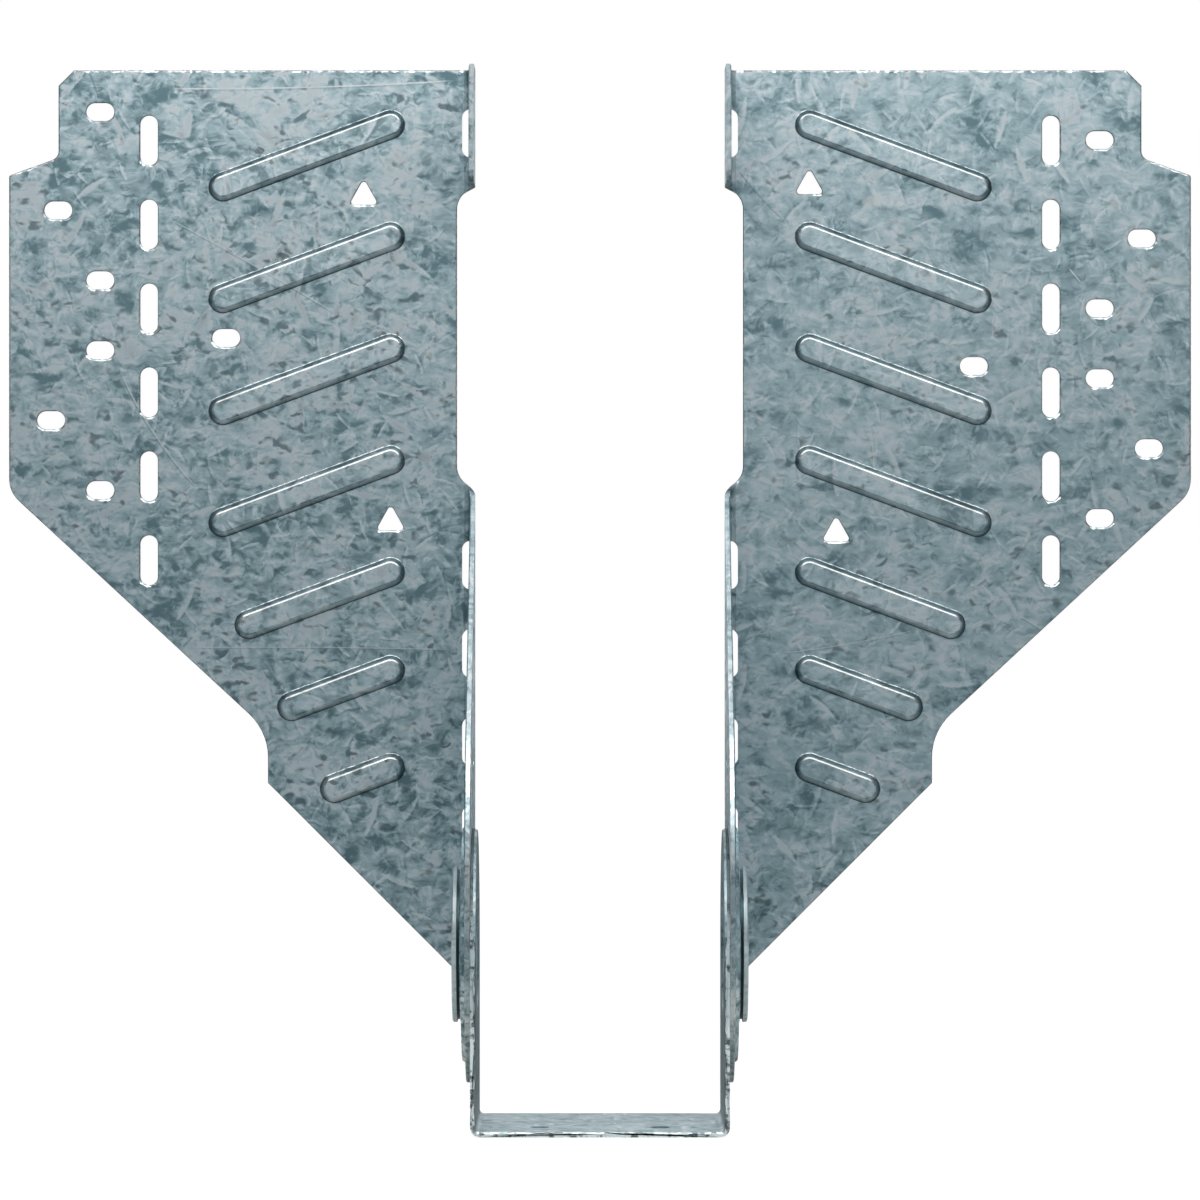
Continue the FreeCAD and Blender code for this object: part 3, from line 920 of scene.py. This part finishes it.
def mark_slope(face, marks):
    """One face of a rib's slope: painted shade, darker from crest to foot and darkest above, and painted
    light near the lower crest.
    """
    sideways = face.normal.x ** 2 / (1 - face.normal.y ** 2)
    upper = face.normal.z > 0
    for loop in face.loops:
        share = (loop.vert.co.y - RIB_TOP) / RIB_HEIGHT
        slope_shade = between(UPPER_SLOPE_SHADE if upper else LOWER_SLOPE_SHADE, share)
        loop[marks["painted_shade"]] = between((slope_shade, between(SLOPE_END_SHADE, share)), sideways)
        loop[marks["cut"]] = 0.0 if upper else between(LOWER_SLOPE_LIGHT, share) * (1 - sideways)


def mark_ribs(bm, marks):
    """Ribs: a shining line along the upper crest, painted shade under the lower crest and on the slopes, and
    a paler top.
    """
    for crest in strips_of(bm, "rib crest", BRACKET_STRIPS):
        for face in crest:
            upper = face.normal.z > UPRIGHT_LEAN
            set_mark(face, marks["rim"], UNBROKEN_SHINE if upper else 0.0)
            set_mark(face, marks["painted_shade"], 0.0 if upper else LOWER_CREST_SHADE)
    for face in bm.faces:
        depth = face.calc_center_median().y
        if RIB_TOP < depth < FACE_FRONT and SLOPE_LEAN[0] < -face.normal.y < SLOPE_LEAN[1]:
            mark_slope(face, marks)
        elif abs(depth - RIB_TOP) < CREST_GAP and -face.normal.y > FLAT_LEAN:
            set_mark(face, marks["cut"], RIB_TOP_PALE)


def mark_wall(face, marks, cut, shade_range):
    """A sheared wall of the sheet, with more painted shade where it looks up, between a least and a most."""
    least, most = shade_range
    set_mark(face, marks["cut"], cut)
    set_mark(face, marks["painted_shade"], min(most, max(least, face.normal.z * UPWARD_SHADE)))


def whole_wall(faces, axis):
    """Some faces of a sheared wall, and all the others that carry it on around its curve."""
    found = list(dict.fromkeys(faces))
    seen = set(found)
    for face in found:
        for edge in face.edges:
            for other in edge.link_faces:
                level = abs(abs(other.normal[axis]) - abs(face.normal[axis])) < UPRIGHT_LEAN
                if other not in seen and level and edge.calc_face_angle(math.pi) < SMOOTH_TURN:
                    seen.add(other)
                    found.append(other)
    return found


def mark_bends(bm, marks):
    """The hollow of each bend beside a face plate, darkened by painted shade."""
    for face in bm.faces:
        middle = face.calc_center_median()
        near = FACE_FRONT - BEND_REACH < middle.y < FACE_FRONT and abs(middle.x) < SIDE_OUTER + BEND_REACH
        if near and face.normal.y < -UPRIGHT_LEAN and abs(face.normal.x) > UPRIGHT_LEAN:
            set_mark(face, marks["painted_shade"], BEND_SHADE)


def mark_collars(bm, marks):
    """Rolled lips outside the brackets, their grooves in painted shade; the arms' ends; painted shade on the
    arms' insides.
    """
    for face in bm.faces:
        middle = face.calc_center_median()
        from_axis = math.hypot(middle.y, middle.z - HINGE_HEIGHT)
        on_lip = abs(middle.x) > LIP_START and from_axis > LIP_INNER_RADIUS
        upright = abs(face.normal.x) < UPRIGHT_LEAN
        on_arm_end = upright and face.normal.z > UPRIGHT_LEAN and middle.z > ARM_END_LOW
        inward = max(0.0, -face.normal.x * math.copysign(1, middle.x))
        if on_lip and abs(middle.x) < GROOVE_END:
            set_mark(face, marks["painted_shade"], GROOVE_SHADE)
        elif on_lip or on_arm_end:
            mark_wall(face, marks, COLLAR_CUT, COLLAR_SHADE)
        elif abs(face.normal.y) < UPRIGHT_LEAN:
            set_mark(face, marks["painted_shade"], ARM_INSIDE_SHADE * inward ** 2)


def mark_strip(faces, kind, on_cut, marks):
    """Pale zinc on the flat's side of a strip and painted shade over it, darkest as lines on the other side;
    a rib's foot takes more painted shade still.
    """
    for face in faces:
        for loop in face.loops:
            beyond = loop.vert in on_cut
            if kind != "rib foot":
                loop[marks["rim"]] = 0.0 if beyond else RIM_SHINE[kind]
                loop[marks["crease"]] = 1.0 if beyond and kind == "face edge" else 0.0
                loop[marks["painted_shade"]] = RIM_SHADE[kind]
            elif face.normal.z > 0:
                loop[marks["rim"]] = 0.0 if beyond else RIM_SHINE[kind]
                loop[marks["painted_shade"]] = UPPER_FOOT_SHADE
            else:
                loop[marks["painted_shade"]] = LOWER_FOOT_SHADE


def outward(corner, on_cut, axis):
    """The way from the cut to a corner beside the flat, within the flat."""
    away = Vector()
    for edge in corner.link_edges:
        other = edge.other_vert(corner)
        if other in on_cut:
            away += corner.co - other.co
    away[axis] = 0
    return away.normalized()


def roll_strip(bm, strip, kind, axis, marks, way, draw, step):
    """Divides one strip finely, marks it, and says how far each point beside the flat may move."""
    border = border_of(strip)
    facing = strip[0].normal[axis]
    flat_edges = [edge for edge, face in border.items() if abs(face.normal[axis]) > FLAT_LEAN]
    flat_corners = {corner for edge in flat_edges for corner in edge.verts}
    cut_edges = [edge for edge in border if not flat_corners & set(edge.verts)]
    if not flat_edges or not cut_edges or not in_order(flat_edges) or not in_order(cut_edges):
        return False
    if kind in WALL_CUT:
        walls = [border[edge] for edge in (flat_edges if kind == "strap edge" else cut_edges)]
        for face in whole_wall(walls, axis):
            mark_wall(face, marks, WALL_CUT[kind], WALL_SHADE[kind])
    bmesh.ops.delete(bm, geom=strip, context="FACES")
    flat = in_order(split(bm, flat_edges, step))
    cut = aligned(flat, in_order(split(bm, cut_edges, step)))
    on_cut = set(cut)
    faces = lace(bm, flat, cut)
    for face in faces:
        face.normal_update()
        if face.normal[axis] * facing < 0:
            face.normal_flip()
    mark_strip(faces, kind, on_cut, marks)
    closed = flat[0] is flat[-1]
    for corner in flat if closed else flat[1:-1]:
        away = outward(corner, on_cut, axis)
        upward = min(1.0, max(0.0, -UPWARD_GAIN * away.z))
        corner[way] = away * between(STRAY[kind], upward)
        corner[draw] = -away * NARROWED[kind] * (1 - UPWARD_SPARED * upward)
    return True


def even_flats(bm, axis, side):
    """Fills the flats that face along an axis with even triangles."""
    flats = [face for face in bm.faces if face.normal[axis] * side > FLAT_LEAN]
    flats = bmesh.ops.triangulate(bm, faces=flats)["faces"]
    edges = dict.fromkeys(edge for face in flats for edge in face.edges if edge.is_manifold)
    inner = [edge for edge in edges if edge.calc_face_angle() < FLAT_TURN]
    bmesh.ops.beautify_fill(bm, faces=flats, edges=inner)


def roll_rims(bm, strips, marks, step):
    """Divides and marks every strip along an edge or a rib's foot, and evens the flats between them."""
    way = bm.verts.layers.float_vector.new("rim_way")
    draw = bm.verts.layers.float_vector.new("rim_draw")
    done = 0
    for kind, (axis, _, _) in strips.items():
        if kind in STRAY:
            for strip in strips_of(bm, kind, strips):
                done += roll_strip(bm, strip, kind, axis, marks, way, draw, step)
    if not done:
        raise RuntimeError("no rolled strip was found on the sheet")
    for axis in sorted({axis for axis, _, _ in strips.values()}):
        for side in (-1, 1):
            even_flats(bm, axis, side)
    return done


def mark_sharp(bm, strips):
    """Leaves an edge smooth only on a curve, so that flats and strips stay crisp."""
    kinds = {face: strip_kind(face, strips) for face in bm.faces}
    for face in bm.faces:
        face.smooth = True
    for edge in bm.edges:
        faces = edge.link_faces
        same_part = len(faces) == 2 and kinds[faces[0]] == kinds[faces[1]]
        edge.smooth = same_part and edge.calc_face_angle(math.pi) < SMOOTH_TURN


def rolled_mesh(node, name, strips):
    """A copy of a CAD node's mesh, marked for its coat and with its strips finely divided."""
    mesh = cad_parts[node].data.copy()
    mesh.attributes.remove(mesh.attributes["custom_normal"])
    mesh.name = name
    bm = bmesh.new()
    bm.from_mesh(mesh)
    bmesh.ops.remove_doubles(bm, verts=bm.verts, dist=MERGE_GAP)
    bm.normal_update()
    marks = new_marks(bm)
    if strips is BRACKET_STRIPS:
        mark_ribs(bm, marks)
        mark_bends(bm, marks)
    else:
        mark_collars(bm, marks)
    rolled = roll_rims(bm, strips, marks, bpy.context.scene.hanger_rims.step)
    bm.normal_update()
    mark_sharp(bm, strips)
    bm.to_mesh(mesh)
    bm.free()
    mesh.materials.clear()
    print(f"{name}: {rolled} rolled strips")
    return mesh


def coated_copy(node, body, name, strips, material):
    """A finished piece in a CAD node's place, with scalloped rims and its zinc coat."""
    rims = bpy.context.scene.hanger_rims
    piece = bpy.data.objects.new(name, rolled_mesh(node, name, strips))
    bpy.context.scene.collection.objects.link(piece)

    tree = bpy.data.node_groups.get("Scalloped rims") or scalloped_rims()
    sockets = {item.name: item.identifier for item in tree.interface.items_tree if item.in_out == "INPUT"}
    modifier = piece.modifiers.new("Scalloped rims", "NODES")
    modifier.node_group = tree
    modifier[sockets["Scallop Depth"]] = rims.depth
    modifier[sockets["Scallop Length"]] = rims.length if strips is BRACKET_STRIPS else rims.strap_length
    modifier[sockets["Seed"]] = rims.seed
    modifier[sockets["Material"]] = bpy.data.materials[material]
    shading = piece.modifiers.new("Even shading", "WEIGHTED_NORMAL")
    shading.weight = EVEN_SHADING
    shading.keep_sharp = True
    depsgraph = bpy.context.evaluated_depsgraph_get()
    shaped = piece.evaluated_get(depsgraph)
    finished = bpy.data.meshes.new_from_object(shaped, preserve_all_data_layers=True, depsgraph=depsgraph)
    finished.name = name
    piece.modifiers.clear()
    piece.data = finished
    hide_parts(node)
    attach(piece, body)


class HangerBrackets(bpy.types.Operator):
    """Coats the two folded brackets"""

    bl_idname = "hanger.brackets"
    bl_label = "Brackets"

    def execute(self, context):
        zinc_materials()
        coated_copy("left_bracket", "left_side", "left_bracket_sheet", BRACKET_STRIPS, "galvanised_left")
        coated_copy("right_bracket", "right_side", "right_bracket_sheet", BRACKET_STRIPS, "galvanised_right")
        return {"FINISHED"}


class HangerStirrup(bpy.types.Operator):
    """Coats the U-shaped seat stirrup"""

    bl_idname = "hanger.stirrup"
    bl_label = "Seat stirrup"

    def execute(self, context):
        zinc_materials()
        coated_copy("seat_stirrup", "seat", "seat_stirrup_strap", STRAP_STRIPS, "galvanised_strap")
        return {"FINISHED"}


def soft_light(name, place, target, size, brightness, colour=(1, 1, 1)):
    """Rectangular soft light of a given brightness as seen from the object, unseen by the camera."""
    light = bpy.data.lights.new(name, "AREA")
    light.shape = "RECTANGLE"
    light.size, light.size_y = size
    light.energy = brightness * math.pi * size[0] * size[1]
    light.color = colour
    lamp = bpy.data.objects.new(name, light)
    lamp.location = place
    lamp.rotation_euler = (Vector(target) - Vector(place)).to_track_quat("-Z", "Y").to_euler()
    lamp.visible_camera = False
    bpy.context.scene.collection.objects.link(lamp)


def floor_material(studio):
    """Pale floor: almost white to the eye, a soft grey in the steel's reflections."""
    material = bpy.data.materials.new("pale_floor")
    material.use_nodes = True
    tree = material.node_tree
    tree.nodes.clear()
    place = add(tree, "ShaderNodeTexCoord").outputs["Object"]
    from_middle = length_of(tree, place)
    glow = add(tree, "ShaderNodeEmission", {"Strength": eased(tree, from_middle, 0.2, 1.5, *FLOOR_GLOW)})
    lit = add(tree, "ShaderNodeBsdfDiffuse", {"Color": FLOOR_LIT})
    seen = add(tree, "ShaderNodeAddShader", {0: glow.outputs[0], 1: lit.outputs[0]})
    further = eased(tree, from_middle, 0.06, 0.22)
    thrown = add(tree, "ShaderNodeBsdfDiffuse", {
        "Color": blended(tree, further, (*studio.floor_near, 1), (*studio.floor_far, 1)),
    })
    path = add(tree, "ShaderNodeLightPath").outputs["Is Camera Ray"]
    surface = add(tree, "ShaderNodeMixShader", {0: path, 1: thrown.outputs[0], 2: seen.outputs[0]})
    add(tree, "ShaderNodeOutputMaterial", {"Surface": surface.outputs[0]})
    return material


def room_air(studio):
    """White behind the object, and a dim grey room in its reflections."""
    world = bpy.data.worlds.new("studio_air")
    world.use_nodes = True
    tree = world.node_tree
    tree.nodes.clear()
    path = add(tree, "ShaderNodeLightPath").outputs["Is Camera Ray"]
    dim = (*(tint * studio.air for tint in AIR_TINT), 1)
    air = add(tree, "ShaderNodeBackground", {"Color": blended(tree, path, dim, WHITE)})
    add(tree, "ShaderNodeOutputWorld", {"Surface": air.outputs[0]})
    return world


class HangerStudio(bpy.types.Operator):
    """Sets up the pale floor, the soft lights and the camera"""

    bl_idname = "hanger.studio"
    bl_label = "Studio"

    def execute(self, context):
        scene = context.scene
        studio = scene.hanger_studio
        scene.view_settings.view_transform = "Standard"
        scene.world = room_air(studio)

        mesh = bpy.data.meshes.new("floor")
        bm = bmesh.new()
        bmesh.ops.create_circle(bm, cap_ends=True, radius=FLOOR_RADIUS, segments=FLOOR_SIDES)
        bm.to_mesh(mesh)
        bm.free()
        mesh.materials.append(floor_material(studio))
        floor = bpy.data.objects.new("floor", mesh)
        floor.location.z = cad_low.z - FLOOR_GAP
        scene.collection.objects.link(floor)

        middle = (cad_low + cad_high) / 2
        soft_light(
            "high_softbox", place=(0, -0.38, 0.68), target=(0, 0.04, 0.24), size=(0.95, 0.40), brightness=7.0,
            colour=(1, 0.965, 0.945),
        )
        soft_light(
            "front_card", place=(0, -2.8, 0.35), target=middle, size=(3.2, 2.2), brightness=0.155,
            colour=(0.84, 1, 1.06),
        )
        for name, side in (("left_card", -1), ("right_card", 1)):
            soft_light(
                name, place=(side * 2.2, -1.1, 0.5), target=middle, size=(1.6, 1.6), brightness=0.6,
                colour=(0.9, 1, 1.03),
            )
        soft_light("back_card", place=(0, 2.6, 0.7), target=middle, size=(3.6, 2.6), brightness=0.66)
        soft_light("top_card", place=(0, 0.1, 1.8), target=middle, size=(1.6, 1.6), brightness=0.35)

        camera = bpy.data.cameras.new("camera")
        camera.sensor_width = SENSOR_WIDTH
        camera.lens = camera.sensor_width * studio.distance / studio.frame_width
        camera.clip_start = NEAREST
        camera.clip_end = FURTHEST
        eye = bpy.data.objects.new("camera", camera)
        eye.location = (0, FACE_FRONT - studio.distance, studio.eye_height)
        eye.rotation_euler = (math.pi / 2, 0, 0)
        scene.collection.objects.link(eye)
        scene.camera = eye
        return {"FINISHED"}


class HangerPanel(bpy.types.Panel):
    """Lists the hanger's pieces and their settings"""

    bl_idname = "VIEW3D_PT_hanger"
    bl_label = "Rafter hanger"
    bl_space_type = "VIEW_3D"
    bl_region_type = "UI"
    bl_category = "Hanger"

    def draw(self, context):
        for settings in (context.scene.hanger_zinc, context.scene.hanger_rims, context.scene.hanger_studio):
            box = self.layout.box()
            for name in settings.bl_rna.properties.keys():
                if name not in {"rna_type", "name"}:
                    box.prop(settings, name)
        for operator in (HangerBrackets, HangerStirrup, HangerStudio):
            self.layout.operator(operator.bl_idname)


CLASSES = (ZincFinish, RolledRims, Studio, HangerBrackets, HangerStirrup, HangerStudio, HangerPanel)


def register():
    for made in CLASSES:
        bpy.utils.register_class(made)
    bpy.types.Scene.hanger_zinc = PointerProperty(type=ZincFinish)
    bpy.types.Scene.hanger_rims = PointerProperty(type=RolledRims)
    bpy.types.Scene.hanger_studio = PointerProperty(type=Studio)


def unregister():
    del bpy.types.Scene.hanger_zinc
    del bpy.types.Scene.hanger_rims
    del bpy.types.Scene.hanger_studio
    for made in reversed(CLASSES):
        bpy.utils.unregister_class(made)


def main():
    register()
    bpy.ops.hanger.brackets()
    bpy.ops.hanger.stirrup()
    bpy.ops.hanger.studio()


if __name__ == "__main__":
    main()
